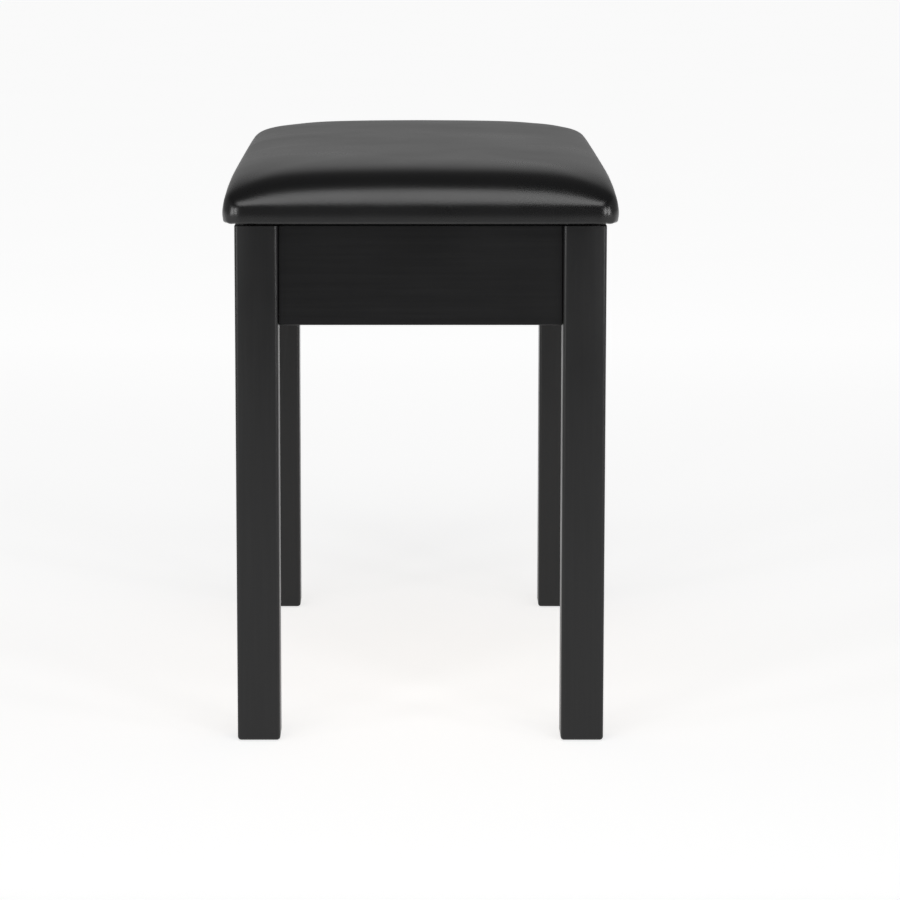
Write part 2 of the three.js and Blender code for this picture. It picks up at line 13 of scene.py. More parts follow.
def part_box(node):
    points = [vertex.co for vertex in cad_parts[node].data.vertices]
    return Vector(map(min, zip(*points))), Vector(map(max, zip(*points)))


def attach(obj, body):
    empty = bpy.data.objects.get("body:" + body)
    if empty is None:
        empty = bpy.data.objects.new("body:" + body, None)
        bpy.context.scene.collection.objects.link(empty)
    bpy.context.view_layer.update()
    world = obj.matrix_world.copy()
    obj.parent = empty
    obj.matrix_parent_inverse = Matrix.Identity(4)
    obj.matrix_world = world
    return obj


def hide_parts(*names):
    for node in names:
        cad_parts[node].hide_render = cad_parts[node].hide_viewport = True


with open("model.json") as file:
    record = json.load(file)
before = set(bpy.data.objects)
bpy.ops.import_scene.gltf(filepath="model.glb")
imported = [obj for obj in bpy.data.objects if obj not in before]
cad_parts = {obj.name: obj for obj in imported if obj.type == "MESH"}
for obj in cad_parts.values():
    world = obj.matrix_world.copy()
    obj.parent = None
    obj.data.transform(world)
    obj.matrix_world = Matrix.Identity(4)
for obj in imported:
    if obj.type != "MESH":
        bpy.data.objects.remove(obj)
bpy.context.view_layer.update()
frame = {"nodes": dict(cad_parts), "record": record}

MM = 0.001

# ---- driving values ----

CAMERA_PLACE = Vector((-0.0064, -3.627, 0.7755))
CAMERA_PITCH = 8.824  # degrees below the horizon
CAMERA_LENS = 151.6  # millimetres, on a 36 mm sensor
CAMERA_SHIFT = 0.0408

SIDE_TOP = 478 * MM  # top of the seat's upright side
SHOULDER_RISE = 3.5 * MM  # height of the soft fold where the upright side ends
SHOULDER_REACH = 1.0 * MM
ROLL_RISE = 18 * MM  # height that the cover gains as it rolls over the foam's edge
ROLL_REACH_X = 2.7 * MM  # distance in which what is left of that height falls by a factor e
ROLL_REACH_Y = 10 * MM
CROWN_RISE = 15.3 * MM  # height of the crown above the roll
CROWN_REACH = 21.5 * MM
CORNER_DROP = 0.62  # how much of the roll is lost at the pad's corners
CORNER_REACH_X = 38 * MM
CORNER_REACH_Y = 45 * MM
EDGE_RADIUS = 3 * MM  # rounding between the upright side and the underside
SIDE_BULGE = 0.6 * MM  # how far the upright side swells past its edges
PLAN_CORNER = 16 * MM
HEM_WIDTH = 41 * MM
COVER_THICK = 1.2 * MM
PAD_STEP = 6 * MM  # size of the pad's mesh inside its edges
EDGE_STEPS = [step * MM for step in (0, 0.5, 1.1, 1.9, 3.0, 4.4, 6.2, 8.6, 11.6, 15.2, 19.5, 24.5)]
SIDE_RINGS = 6
ROUNDING_RINGS = 6
HEM_RINGS = 7
PAD_SWELL = 1.0 * MM  # how far the crown rises in the simulation
SWELL_PRESSURE = 4.0
SWELL_FRAMES = 20
PLEAT_TOP = SIDE_TOP - 4 * MM  # the pleats at the corners start here and deepen downwards
PLEAT_FADE = 12 * MM
PLEATS = 36  # in a full turn
PLEAT_RISE = 0.7 * MM
PLEAT_DEPTH = 0.4 * MM
RIPPLE = 0.16 * MM  # height of the ripples along the seat's upper edge
RIPPLE_REACH = 9 * MM
RIPPLE_LENGTHS = (47 * MM, 29 * MM)  # a long wave, and a weaker short one on top of it
RIPPLE_BOTTOM = SIDE_TOP - 2 * MM

LINING_SAG = 0.8 * MM
SAG_FRAMES = 14
LINING_STEP = 4 * MM
PUCKER = 0.15 * MM  # height of the lining's puckers at its staples
PUCKER_REACH = 10 * MM
LINING_THICK = 0.4 * MM
STAPLE_PITCH = 32 * MM
STAPLE_INSET = 5 * MM
STAPLE_SEED = 7
STAPLE_WIDTH = 10 * MM
STAPLE_BEND = 0.4 * MM  # the wire's ends turn up within this distance, to this height
WIRE_WIDTH = 1 * MM
WIRE_THICK = 0.3 * MM
STAPLE_SHIFT_ALONG = 2 * MM  # how far a staple strays from its even place
STAPLE_SHIFT_ACROSS = 1 * MM
STAPLE_TILT = math.radians(5)
STAPLE_PRESS = 0.1 * MM  # how far the wire presses into the cloth

PLATE = 2 * MM  # thickness of the brackets
PAN_HEAD = (3.6 * MM, 1.9 * MM)  # radius and height
FLAT_HEAD = (3.8 * MM, 0.2 * MM)
FLANGE_SCREW_INSET = 8 * MM
FLANGE_SCREW_SPREAD = 11 * MM
PLATE_SCREW_SPREAD = 17 * MM
LID_SCREW_SPREAD = 11 * MM
THREAD_PITCH = 1.25 * MM
THREAD_DEPTH = 0.6 * MM
THREAD_RINGS = 6  # in one pitch
THREAD_SPOKES = 20
BOLT_TIP = 0.6  # the thread's radius at the bolt's ends, as a share of its full radius
SCREW_RINGS = 9
SCREW_SPOKES = 32
CROSS_ARM = 0.16  # half width of the cross recess, as a share of the head's radius
CROSS_REACH = 0.62
CROSS_STEP = 0.1  # the recess's depth at its ends, as a share of the head's height
CROSS_SLOPE = 0.75  # what the depth gains from there to the middle

# lamps: place, target, width, height, watts; the strip and the edge lamp stand on both sides
KEY_LAMP = ((0, -1.7, 2.0), (0, -0.3, 0.48), 1.5, 0.9, 16)
STRIP_LAMP = ((1.6, -3.0, 0.75), (0, -0.33, 0.45), 0.55, 1.2, 21)
EDGE_LAMP = ((2.6, -2.3, 0.55), (0, -0.33, 0.3), 0.7, 1.4, 28)

FLOOR_REACH = 30  # half the side of the floor
# each of these changes from a first place to a last one: the places, then the two brightnesses
FLOOR_NEAR = (-2.7, -0.8, 0.14, 1.0)  # by Y: the floor is darker towards the camera
FLOOR_FAR = (-0.8, 2.5, 0.68, 0.87)  # by Y: its own light grows where that of the lamps fades
ROOM_BY_HEIGHT = (0.48, 0.78, 0.35, 0.14)  # by a direction's Z: the room is darker higher up
ROOM_BY_DEPTH = (-0.9, 0.1, 0.12, 1.0)  # by a direction's Y: it is brighter towards the back

SEAT_LOW, SEAT_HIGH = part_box("seat_cover")
LINING_LOW, LINING_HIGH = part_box("seat_lining")


# ---- meshes ----

def new_object(name, vertices, faces, smooth=True):
    mesh = bpy.data.meshes.new(name)
    mesh.from_pydata([tuple(v) for v in vertices], [], [tuple(f) for f in faces])
    mesh.validate()
    mesh.polygons.foreach_set("use_smooth", [smooth] * len(mesh.polygons))
    mesh.update()
    obj = bpy.data.objects.new(name, mesh)
    bpy.context.scene.collection.objects.link(obj)
    return obj


def from_bmesh(name, bm, smooth=True):
    mesh = bpy.data.meshes.new(name)
    bm.to_mesh(mesh)
    bm.free()
    mesh.polygons.foreach_set("use_smooth", [smooth] * len(mesh.polygons))
    obj = bpy.data.objects.new(name, mesh)
    bpy.context.scene.collection.objects.link(obj)
    return obj


def grid_faces(rows, columns, closed=False, first=0):
    """Quads between the rows of a grid of vertices that is stored row by row."""
    faces = []
    spans = columns if closed else columns - 1
    for row in range(rows - 1):
        for column in range(spans):
            a = first + row * columns + column
            b = first + row * columns + (column + 1) % columns
            faces.append((a, b, b + columns, a + columns))
    return faces


# ---- shader nodes ----

class Shader:
    """A material's node tree, with one short method for each kind of node the materials use."""

    def __init__(self, name, base, roughness, metallic=0.0):
        self.material = bpy.data.materials.new(name)
        self.material.use_nodes = True
        self.tree = self.material.node_tree
        self.surface = self.tree.nodes["Principled BSDF"]
        self.set(self.surface, "Base Color", (*base, 1))
        self.set(self.surface, "Roughness", roughness)
        self.set(self.surface, "Metallic", metallic)
        self.material.diffuse_color = (*base, 1)

    def set(self, node, socket, value):
        if isinstance(value, bpy.types.NodeSocket):
            self.tree.links.new(value, node.inputs[socket])
        else:
            node.inputs[socket].default_value = value

    def add(self, kind, sockets, **settings):
        node = self.tree.nodes.new(kind)
        for name, value in settings.items():
            setattr(node, name, value)
        for socket, value in sockets.items():
            self.set(node, socket, value)
        return node

    def place(self, scale=(1, 1, 1)):
        """Coordinates in the row frame, in metres, stretched by scale."""
        where = self.add("ShaderNodeTexCoord", {})
        stretch = self.add("ShaderNodeMapping", {"Vector": where.outputs["Object"], "Scale": scale})
        return stretch.outputs["Vector"]

    def noise(self, where, scale, detail=2.0, roughness=0.5):
        sockets = {"Vector": where, "Scale": scale, "Detail": detail, "Roughness": roughness}
        return self.add("ShaderNodeTexNoise", sockets).outputs["Fac"]

    def cells(self, where, scale, feature="F1", randomness=1.0):
        sockets = {"Vector": where, "Scale": scale, "Randomness": randomness}
        return self.add("ShaderNodeTexVoronoi", sockets, feature=feature).outputs["Distance"]

    def span(self, value, low, high, to_low, to_high):
        """value's range from low to high becomes to_low to to_high."""
        sockets = {"Value": value, 1: low, 2: high, 3: to_low, 4: to_high}
        return self.add("ShaderNodeMapRange", sockets).outputs["Result"]

    def combine(self, a, b, operation="ADD"):
        """a and b added, or put together by another operation of the Math node."""
        return self.add("ShaderNodeMath", {0: a, 1: b}, operation=operation).outputs["Value"]

    def blend_tints(self, factor, dark, light):
        """A mix of two colours, each a value or another node's output."""
        mix = self.tree.nodes.new("ShaderNodeMix")
        mix.data_type = "RGBA"
        self.set(mix, 0, factor)
        self.set(mix, 6, dark)
        self.set(mix, 7, light)
        return mix.outputs[2]

    def tint(self, factor, dark, light):
        return self.blend_tints(factor, (*dark, 1), (*light, 1))

    def bump(self, height, distance, strength=1.0):
        """height, from 0 to 1, raised by distance in metres."""
        sockets = {"Height": height, "Distance": distance, "Strength": strength}
        return self.add("ShaderNodeBump", sockets).outputs["Normal"]

    def finish(self, color=None, roughness=None, normal=None):
        for socket, value in (("Base Color", color), ("Roughness", roughness), ("Normal", normal)):
            if value is not None:
                self.set(self.surface, socket, value)
        return self.material


# ---- materials ----

GRAIN_ACROSS = 420  # wood grain's frequency across the grain, per metre
GRAIN_ALONG = 9
LACQUER_SHINE = (0.22, 0.26, 0.36)  # painted shade: the aprons' lacquer reflects less than the legs', to darken them as the seat's overhang shades them


def lacquer(axis):
    """Satin black lacquer over close-grained wood, with its grain along the axis 0, 1 or 2."""
    shader = Shader(f"black_lacquer_{'xyz'[axis]}", (0.008, 0.008, 0.008), 0.36)
    stretch = [GRAIN_ACROSS] * 3
    stretch[axis] = GRAIN_ALONG
    grain = shader.noise(shader.place(stretch), 1.0, 3.0, 0.6)
    peel = shader.noise(shader.place(), 700.0, 1.0)
    cloudy = shader.noise(shader.place(), 14.0, 3.0)
    dust = shader.cells(shader.place(), 900.0)
    height = shader.combine(shader.span(grain, 0.3, 0.7, 0.0, 0.6), shader.span(peel, 0, 1, 0, 0.5))
    sheen = shader.span(cloudy, 0.3, 0.7, 0.33, 0.39)
    rough = shader.combine(sheen, shader.span(grain, 0, 1, -0.02, 0.02))
    streaks = shader.span(grain, 0.35, 0.75, 0, 1)
    color = shader.tint(streaks, (0.0045, 0.0045, 0.0048), (0.0065, 0.0065, 0.0068))
    # painted shade: the weaker reflection on the aprons stands in for the shade under the seat's
    # overhang
    shader.set(shader.surface, "Specular IOR Level", LACQUER_SHINE[axis])
    fleck = shader.span(dust, 0.0, 0.05, 0.035, 0.0)
    lit = shader.blend_tints(fleck, color, (0.5, 0.5, 0.5, 1))
    return shader.finish(lit, rough, shader.bump(height, 0.00004, 0.6))


def leatherette():
    """Semi-gloss black leatherette: fine pebbles with painted shade in their valleys, and slow changes
    of sheen.
    """
    shader = Shader("black_leatherette", (0.013, 0.013, 0.014), 0.36)
    warp = shader.noise(shader.place(), 260.0, 2.0)
    pebbles = shader.cells(shader.place(), 820.0, "SMOOTH_F1")
    creases = shader.noise(shader.place(), 95.0, 4.0, 0.6)
    cloudy = shader.noise(shader.place(), 9.0, 3.0)
    height = shader.combine(
        shader.span(pebbles, 0.1, 0.7, 0.8, 0.0),
        shader.combine(shader.span(warp, 0, 1, 0, 0.3), shader.span(creases, 0, 1, 0, 0.5)),
    )
    sheen = shader.span(cloudy, 0.3, 0.7, 0.25, 0.30)
    rough = shader.combine(sheen, shader.span(pebbles, 0, 0.7, 0, 0.03))
    # painted shade: the pebbles' valleys are coloured darker than their raised tops
    raised = shader.span(pebbles, 0.2, 0.7, 1, 0)
    color = shader.tint(raised, (0.0017, 0.0017, 0.0019), (0.0035, 0.0035, 0.0038))
    return shader.finish(color, rough, shader.bump(height, 0.00005, 0.5))


def plywood():
    """Unfinished plywood: a grained face veneer, and plies that show on the edges."""
    shader = Shader("plywood", (0.60, 0.44, 0.27), 0.62)
    grain = shader.noise(shader.place((90, 3.5, 90)), 1.0, 4.0, 0.6)
    rings = shader.add("ShaderNodeTexWave", {
        "Vector": shader.place((9, 0.8, 9)), "Scale": 1.0, "Distortion": 9.0, "Detail": 3.0,
        "Detail Scale": 1.4,
    }, bands_direction="X").outputs["Fac"]
    pores = shader.noise(shader.place((900, 40, 900)), 1.0, 1.0)
    face = shader.tint(shader.span(rings, 0, 1, 0.25, 0.8), (0.47, 0.31, 0.17), (0.66, 0.49, 0.31))
    face = shader.blend_tints(shader.span(grain, 0.4, 0.7, 0, 0.5), face, (0.40, 0.25, 0.13, 1))
    plies = shader.add("ShaderNodeTexWave", {
        "Vector": shader.place(), "Scale": 130.0, "Distortion": 0.4,
    }, bands_direction="Z").outputs["Fac"]
    edge = shader.tint(plies, (0.30, 0.19, 0.10), (0.58, 0.42, 0.26))
    facing = shader.add("ShaderNodeTexCoord", {})
    upright = shader.add("ShaderNodeSeparateXYZ", {"Vector": facing.outputs["Normal"]})
    flat = shader.combine(upright.outputs["Z"], 0.0, "ABSOLUTE")
    color = shader.blend_tints(shader.span(flat, 0.4, 0.6, 0, 1), edge, face)
    height = shader.combine(shader.span(grain, 0, 1, 0, 0.6), shader.span(pores, 0.3, 0.7, 0, 0.4))
    return shader.finish(color, shader.span(grain, 0, 1, 0.55, 0.72), shader.bump(height, 0.0001, 0.7))


def lining_cloth():
    """Thin black non-woven cloth, embossed with small points."""
    shader = Shader("lining_cloth", (0.02, 0.02, 0.022), 0.9)
    fibres = shader.noise(shader.place((1, 3, 1)), 900.0, 3.0, 0.7)
    points = shader.cells(shader.place((1, 1, 0)), 420.0, randomness=0.15)
    strands = shader.span(fibres, 0.35, 0.7, 0, 1)
    color = shader.tint(strands, (0.012, 0.012, 0.013), (0.040, 0.040, 0.043))
    dimples = shader.span(points, 0.15, 0.35, 0.0, 1.0)
    height = shader.combine(dimples, shader.span(fibres, 0, 1, 0, 0.6))
    shader.set(shader.surface, "Sheen Weight", 0.25)
    return shader.finish(color, shader.span(fibres, 0, 1, 0.8, 1.0), shader.bump(height, 0.00015, 0.8))


def zinc():
    """Zinc-plated sheet steel with faint rolling marks and a slight bloom."""
    shader = Shader("zinc_steel", (0.60, 0.61, 0.63), 0.34, 1.0)
    brushed = shader.noise(shader.place((60, 60, 1400)), 1.0, 2.0)
    bloom = shader.noise(shader.place(), 70.0, 4.0, 0.6)
    spangle = shader.cells(shader.place(), 180.0)
    color = shader.tint(shader.span(bloom, 0.35, 0.7, 0, 1), (0.50, 0.51, 0.54), (0.68, 0.69, 0.70))
    sheen = shader.span(bloom, 0.3, 0.7, 0.28, 0.42)
    rough = shader.combine(sheen, shader.span(spangle, 0, 1, -0.04, 0.04))
    return shader.finish(color, rough, shader.bump(brushed, 0.00002, 0.6))


def brass():
    """Brass plate, a little tarnished."""
    shader = Shader("brass_plate", (0.70, 0.50, 0.22), 0.28, 1.0)
    tarnish = shader.noise(shader.place(), 120.0, 5.0, 0.65)
    lines = shader.noise(shader.place((1200, 40, 1200)), 1.0, 2.0)
    color = shader.tint(shader.span(tarnish, 0.45, 0.75, 0, 1), (0.74, 0.54, 0.25), (0.42, 0.28, 0.12))
    rough = shader.span(tarnish, 0.3, 0.8, 0.24, 0.5)
    return shader.finish(color, rough, shader.bump(lines, 0.00002, 0.6))


def rubber():
    """Black rubber with a fine moulded texture and a bloom of dust."""
    shader = Shader("black_rubber", (0.02, 0.02, 0.02), 0.75)
    fine = shader.noise(shader.place(), 1800.0, 2.0)
    bloom = shader.noise(shader.place(), 160.0, 3.0)
    color = shader.tint(shader.span(bloom, 0.4, 0.7, 0, 1), (0.016, 0.016, 0.016), (0.045, 0.044, 0.042))
    return shader.finish(color, shader.span(bloom, 0, 1, 0.65, 0.9), shader.bump(fine, 0.00005, 0.6))


def nylon():
    """Black moulded nylon, scuffed by the floor."""
    shader = Shader("black_nylon", (0.015, 0.015, 0.015), 0.45)
    scuffs = shader.noise(shader.place((400, 60, 400)), 1.0, 3.0)
    worn = shader.span(scuffs, 0.55, 0.75, 0, 1)
    color = shader.tint(worn, (0.012, 0.012, 0.012), (0.08, 0.078, 0.075))
    rough = shader.span(scuffs, 0.3, 0.7, 0.38, 0.62)
    return shader.finish(color, rough, shader.bump(scuffs, 0.00003, 0.5))


def staple_wire():
    """Galvanised wire."""
    shader = Shader("staple_wire", (0.62, 0.62, 0.63), 0.35, 1.0)
    mottle = shader.noise(shader.place(), 900.0, 3.0)
    color = shader.tint(shader.span(mottle, 0.35, 0.7, 0, 1), (0.45, 0.45, 0.47), (0.70, 0.70, 0.71))
    return shader.finish(color, shader.span(mottle, 0, 1, 0.28, 0.5), shader.bump(mottle, 0.00001, 0.5))


def paint(obj, material):
    obj.data.materials.clear()
    obj.data.materials.append(material)


MATERIALS = {
    "leatherette": leatherette(),
    "bare_wood": plywood(),
    "lining": lining_cloth(),
    "zinc": zinc(),
    "brass": brass(),
    "rubber": rubber(),
    "nylon": nylon(),
    "staple": staple_wire(),
}
LACQUER = [lacquer(axis) for axis in range(3)]


# ---- CAD pieces: soft edges and better materials ----

SAME_POINT = 0.01 * MM  # corners of the CAD's triangles closer than this are one point
SHARP_ANGLE = math.radians(35)  # edges that bend more than this stay crisp, and are eased
BEVELS = {"lacquer": 0.5 * MM, "zinc": 0.25 * MM, "brass": 0.15 * MM, "bare_wood": 0.3 * MM}


def smoothing_group(angle):
    """Geometry nodes that join the CAD's loose triangles and shade them smooth below an angle."""
    tree = bpy.data.node_groups.new("soft_edges", "GeometryNodeTree")
    tree.interface.new_socket("Geometry", in_out="INPUT", socket_type="NodeSocketGeometry")
    tree.interface.new_socket("Geometry", in_out="OUTPUT", socket_type="NodeSocketGeometry")
    start = tree.nodes.new("NodeGroupInput")
    end = tree.nodes.new("NodeGroupOutput")
    merge = tree.nodes.new("GeometryNodeMergeByDistance")
    merge.inputs["Distance"].default_value = SAME_POINT
    plain = tree.nodes.new("GeometryNodeRemoveAttribute")
    plain.inputs["Name"].default_value = "custom_normal"
    faces = tree.nodes.new("GeometryNodeSetShadeSmooth")
    edges = tree.nodes.new("GeometryNodeSetShadeSmooth")
    edges.domain = "EDGE"
    edges.inputs["Shade Smooth"].default_value = False
    bend = tree.nodes.new("GeometryNodeInputMeshEdgeAngle")
    sharp = tree.nodes.new("FunctionNodeCompare")
    sharp.operation = "GREATER_THAN"
    sharp.inputs[1].default_value = angle
    link = tree.links.new
    link(start.outputs[0], merge.inputs["Geometry"])
    link(merge.outputs["Geometry"], plain.inputs["Geometry"])
    link(plain.outputs["Geometry"], faces.inputs["Geometry"])
    link(faces.outputs["Geometry"], edges.inputs["Geometry"])
    link(bend.outputs["Unsigned Angle"], sharp.inputs[0])
    link(sharp.outputs["Result"], edges.inputs["Selection"])
    link(edges.outputs["Geometry"], end.inputs[0])
    return tree


SOFT_EDGES = smoothing_group(SHARP_ANGLE)


def soften(obj, width):
    smoothing = obj.modifiers.new("soft_edges", "NODES")
    smoothing.node_group = SOFT_EDGES
    if width:
        bevel = obj.modifiers.new("eased", "BEVEL")
        bevel.width = width
        bevel.segments = 2
        bevel.limit_method = "ANGLE"
        bevel.angle_limit = SHARP_ANGLE


def finish_cad_nodes():
    slots = {s["node"]: s["material_slot"] for s in frame["record"]["subparts"]}
    for name, obj in frame["nodes"].items():
        slot = slots[name]
        if slot == "lacquer":
            low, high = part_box(name)
            size = high - low
            paint(obj, LACQUER[max(range(3), key=lambda axis: size[axis])])
        elif slot in MATERIALS:
            paint(obj, MATERIALS[slot])
        soften(obj, BEVELS.get(slot, 0))


# ---- seat pad ----

def graded(half, step, near):
    """Places from -half to half: steps that widen from the edges inwards to an even step."""
    inner = half - near[-1]
    count = max(2, round(2 * inner / step))
    even = np.linspace(-inner, inner, count + 1)
    left = [-half + d for d in near[:-1]]
    return np.array([*left, *even, *[-x for x in reversed(left)]])


def round_corner(x, y, half_x, half_y, radius):
    """Moves a point of a rectangle's corner square into the corner's rounding."""
    p = (abs(x) - (half_x - radius)) / radius
    q = (abs(y) - (half_y - radius)) / radius
    if p <= 0 or q <= 0:
        return x, y
    reach = max(p, q)
    angle = math.pi / 4 * (q / p) if p > q else math.pi / 2 - math.pi / 4 * (p / q)
    new_x = half_x - radius + radius * reach * math.cos(angle)
    new_y = half_y - radius + radius * reach * math.sin(angle)
    return math.copysign(new_x, x), math.copysign(new_y, y)


def edge_distance(x, y, half_x, half_y, radius):
    """How far a point lies inside a rectangle with rounded corners."""
    p, q = abs(x) - (half_x - radius), abs(y) - (half_y - radius)
    outside = math.hypot(max(p, 0), max(q, 0))
    return radius - (outside + min(max(p, q), 0))


def rise(distance, reach):
    """A curve that climbs from 0 at the edge to 1 far inside."""
    return 1 - math.exp(-max(distance, 0) / reach)


def crown_height(x, y, half_x, half_y):
    """Height of the cover over the top of its upright side."""
    in_x, in_y = half_x - abs(x), half_y - abs(y)
    inside = edge_distance(x, y, half_x, half_y, PLAN_CORNER)
    near_corner = math.exp(-math.hypot(in_x / CORNER_REACH_X, in_y / CORNER_REACH_Y))
    roll = rise(inside, ROLL_REACH_X) * rise(in_y, ROLL_REACH_Y) * (1 - CORNER_DROP * near_corner)
    crown = rise(in_x, CROWN_REACH) * rise(in_y, CROWN_REACH)
    shoulder = SHOULDER_RISE * rise(inside, SHOULDER_REACH)
    return shoulder + ROLL_RISE * roll + (CROWN_RISE - PAD_SWELL) * crown


def side_section():
    """Inset and height of the rings below the crown: upright side, lower roll and hem."""
    low = SEAT_LOW.z
    heights = np.linspace(SIDE_TOP, low + EDGE_RADIUS, SIDE_RINGS)
    bulge = SIDE_BULGE * np.sin(np.linspace(0, math.pi, SIDE_RINGS))
    rings = [(-out, z) for out, z in zip(bulge[1:], heights[1:])]
    for angle in np.linspace(math.pi / 2, 0, ROUNDING_RINGS + 1)[1:]:
        rings.append((EDGE_RADIUS * (1 - math.sin(angle)), low + EDGE_RADIUS * (1 - math.cos(angle))))
    rings += [(inset, low) for inset in np.linspace(EDGE_RADIUS, HEM_WIDTH, HEM_RINGS + 1)[1:]]
    rings.append((HEM_WIDTH, low + COVER_THICK))
    return rings


def simulate(obj, held, pressure, gravity, frames, cap):
    """Keeps what a cloth simulation makes of obj, scaled so that no vertex moves more than cap."""
    start = np.empty(len(obj.data.vertices) * 3)
    obj.data.vertices.foreach_get("co", start)
    start = start.reshape(-1, 3)
    group = obj.vertex_groups.new(name="held")
    group.add([int(i) for i in np.flatnonzero(held)], 1.0, "REPLACE")
    modifier = obj.modifiers.new("cloth", "CLOTH")
    cloth = modifier.settings
    cloth.quality = 5
    cloth.mass = 0.35
    cloth.tension_stiffness = 25
    cloth.compression_stiffness = 25
    cloth.shear_stiffness = 12
    cloth.bending_stiffness = 4
    cloth.use_pressure = pressure > 0
    cloth.uniform_pressure_force = pressure
    cloth.vertex_group_mass = "held"
    cloth.effector_weights.gravity = gravity
    modifier.collision_settings.use_collision = False
    modifier.point_cache.frame_end = frames
    scene = bpy.context.scene
    for number in range(1, frames + 1):
        scene.frame_set(number)
    solved = obj.evaluated_get(bpy.context.evaluated_depsgraph_get())
    end = np.empty(len(solved.data.vertices) * 3)
    solved.data.vertices.foreach_get("co", end)
    move = end.reshape(-1, 3) - start
    obj.modifiers.remove(modifier)
    obj.vertex_groups.remove(group)
    scene.frame_set(1)
    far = np.linalg.norm(move, axis=1).max()
    move *= cap / max(far, 1e-9)
    obj.data.vertices.foreach_set("co", (start + move).ravel())
    obj.data.update()


def tuck_corners(points, half_x, half_y):
    """Small pleats where the cover gathers round the corners, deeper towards the underside."""
    for i, (x, y, z) in enumerate(points):
        p = abs(x) - (half_x - PLAN_CORNER) + HEM_WIDTH
        q = abs(y) - (half_y - PLAN_CORNER) + HEM_WIDTH
        if p <= 0 or q <= 0 or z > PLEAT_TOP:
            continue
        angle = math.atan2(q, p)
        centred = max(0.0, 1 - abs(angle - math.pi / 4) / (math.pi / 5))
        depth = min((PLEAT_TOP - z) / PLEAT_FADE, 1)
        wave = (0.5 + 0.5 * math.cos(angle * PLEATS)) * centred * depth
        points[i] += (
            -math.copysign(PLEAT_DEPTH * wave, x),
            -math.copysign(PLEAT_DEPTH * wave, y),
            PLEAT_RISE * wave,
        )
    return points


def pull_edges(points, half_x, half_y):
    """The cover's slow ripples along its sides, where it is pulled to each staple underneath."""
    for i, (x, y, z) in enumerate(points):
        if z <= RIPPLE_BOTTOM:
            continue
        inside = max(edge_distance(x, y, half_x, half_y, PLAN_CORNER), 0)
        along = 2 * math.pi * (y if half_x - abs(x) < half_y - abs(y) else x)
        wave = math.sin(along / RIPPLE_LENGTHS[0] + 1.3) + 0.6 * math.sin(along / RIPPLE_LENGTHS[1])
        points[i, 2] += RIPPLE * wave * math.exp(-inside / RIPPLE_REACH)
    return points


def refine_and_close(obj):
    """One subdivision, then a flat face across the opening inside the hem, under the board."""
    modifier = obj.modifiers.new("fine", "SUBSURF")
    modifier.levels = 1
    solved = obj.evaluated_get(bpy.context.evaluated_depsgraph_get())
    mesh = bpy.data.meshes.new_from_object(solved)
    obj.modifiers.remove(modifier)
    obj.data = mesh
    bm = bmesh.new()
    bm.from_mesh(mesh)
    bmesh.ops.holes_fill(bm, edges=[edge for edge in bm.edges if edge.is_boundary], sides=0)
    bmesh.ops.recalc_face_normals(bm, faces=bm.faces)
    bm.to_mesh(mesh)
    bm.free()


def seat_pad():
    """The cover over the foam as one skin: crown, rolled edge, upright side and hem."""
    half_x, half_y = SEAT_HIGH.x, SEAT_HIGH.y
    columns = graded(half_x, PAD_STEP, EDGE_STEPS)
    rows = graded(half_y, PAD_STEP, EDGE_STEPS)
    points, index = [], {}
    for j, y in enumerate(rows):
        for i, x in enumerate(columns):
            index[i, j] = len(points)
            px, py = round_corner(x, y, half_x, half_y, PLAN_CORNER)
            points.append((px, py, SIDE_TOP + crown_height(px, py, half_x, half_y)))
    last_i, last_j = len(columns) - 1, len(rows) - 1
    faces = grid_faces(len(rows), len(columns))
    rim = [index[i, 0] for i in range(last_i)] + [index[last_i, j] for j in range(last_j)]
    rim += [index[i, last_j] for i in range(last_i, 0, -1)] + [index[0, j] for j in range(last_j, 0, -1)]
    top_count = len(points)
    section = side_section()
    for inset, z in section:
        for k in rim:
            x, y, _ = points[k]
            shrink_x, shrink_y = 1 - inset / half_x, 1 - inset / half_y
            points.append((x * shrink_x, y * shrink_y, z))
    count = len(rim)
    faces += [(rim[k], top_count + k, top_count + (k + 1) % count, rim[(k + 1) % count])
              for k in range(count)]
    faces += [tuple(reversed(f)) for f in grid_faces(len(section), count, True, top_count)]
    points = np.array(points)
    pad = new_object("seat_pad", points, faces)
    held = np.ones(len(points), bool)
    held[:top_count] = points[:top_count, 2] < SIDE_TOP + ROLL_RISE / 2
    simulate(pad, held, pressure=SWELL_PRESSURE, gravity=0, frames=SWELL_FRAMES, cap=PAD_SWELL)
    pad.data.vertices.foreach_get("co", flat := np.empty(points.size))
    shaped = pull_edges(tuck_corners(flat.reshape(-1, 3), half_x, half_y), half_x, half_y)
    pad.data.vertices.foreach_set("co", shaped.ravel())
    pad.data.update()
    refine_and_close(pad)
    paint(pad, MATERIALS["leatherette"])
    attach(pad, "seat")
    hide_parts("seat_cover", "seat_foam")


# ---- lining and staples, under the seat ----

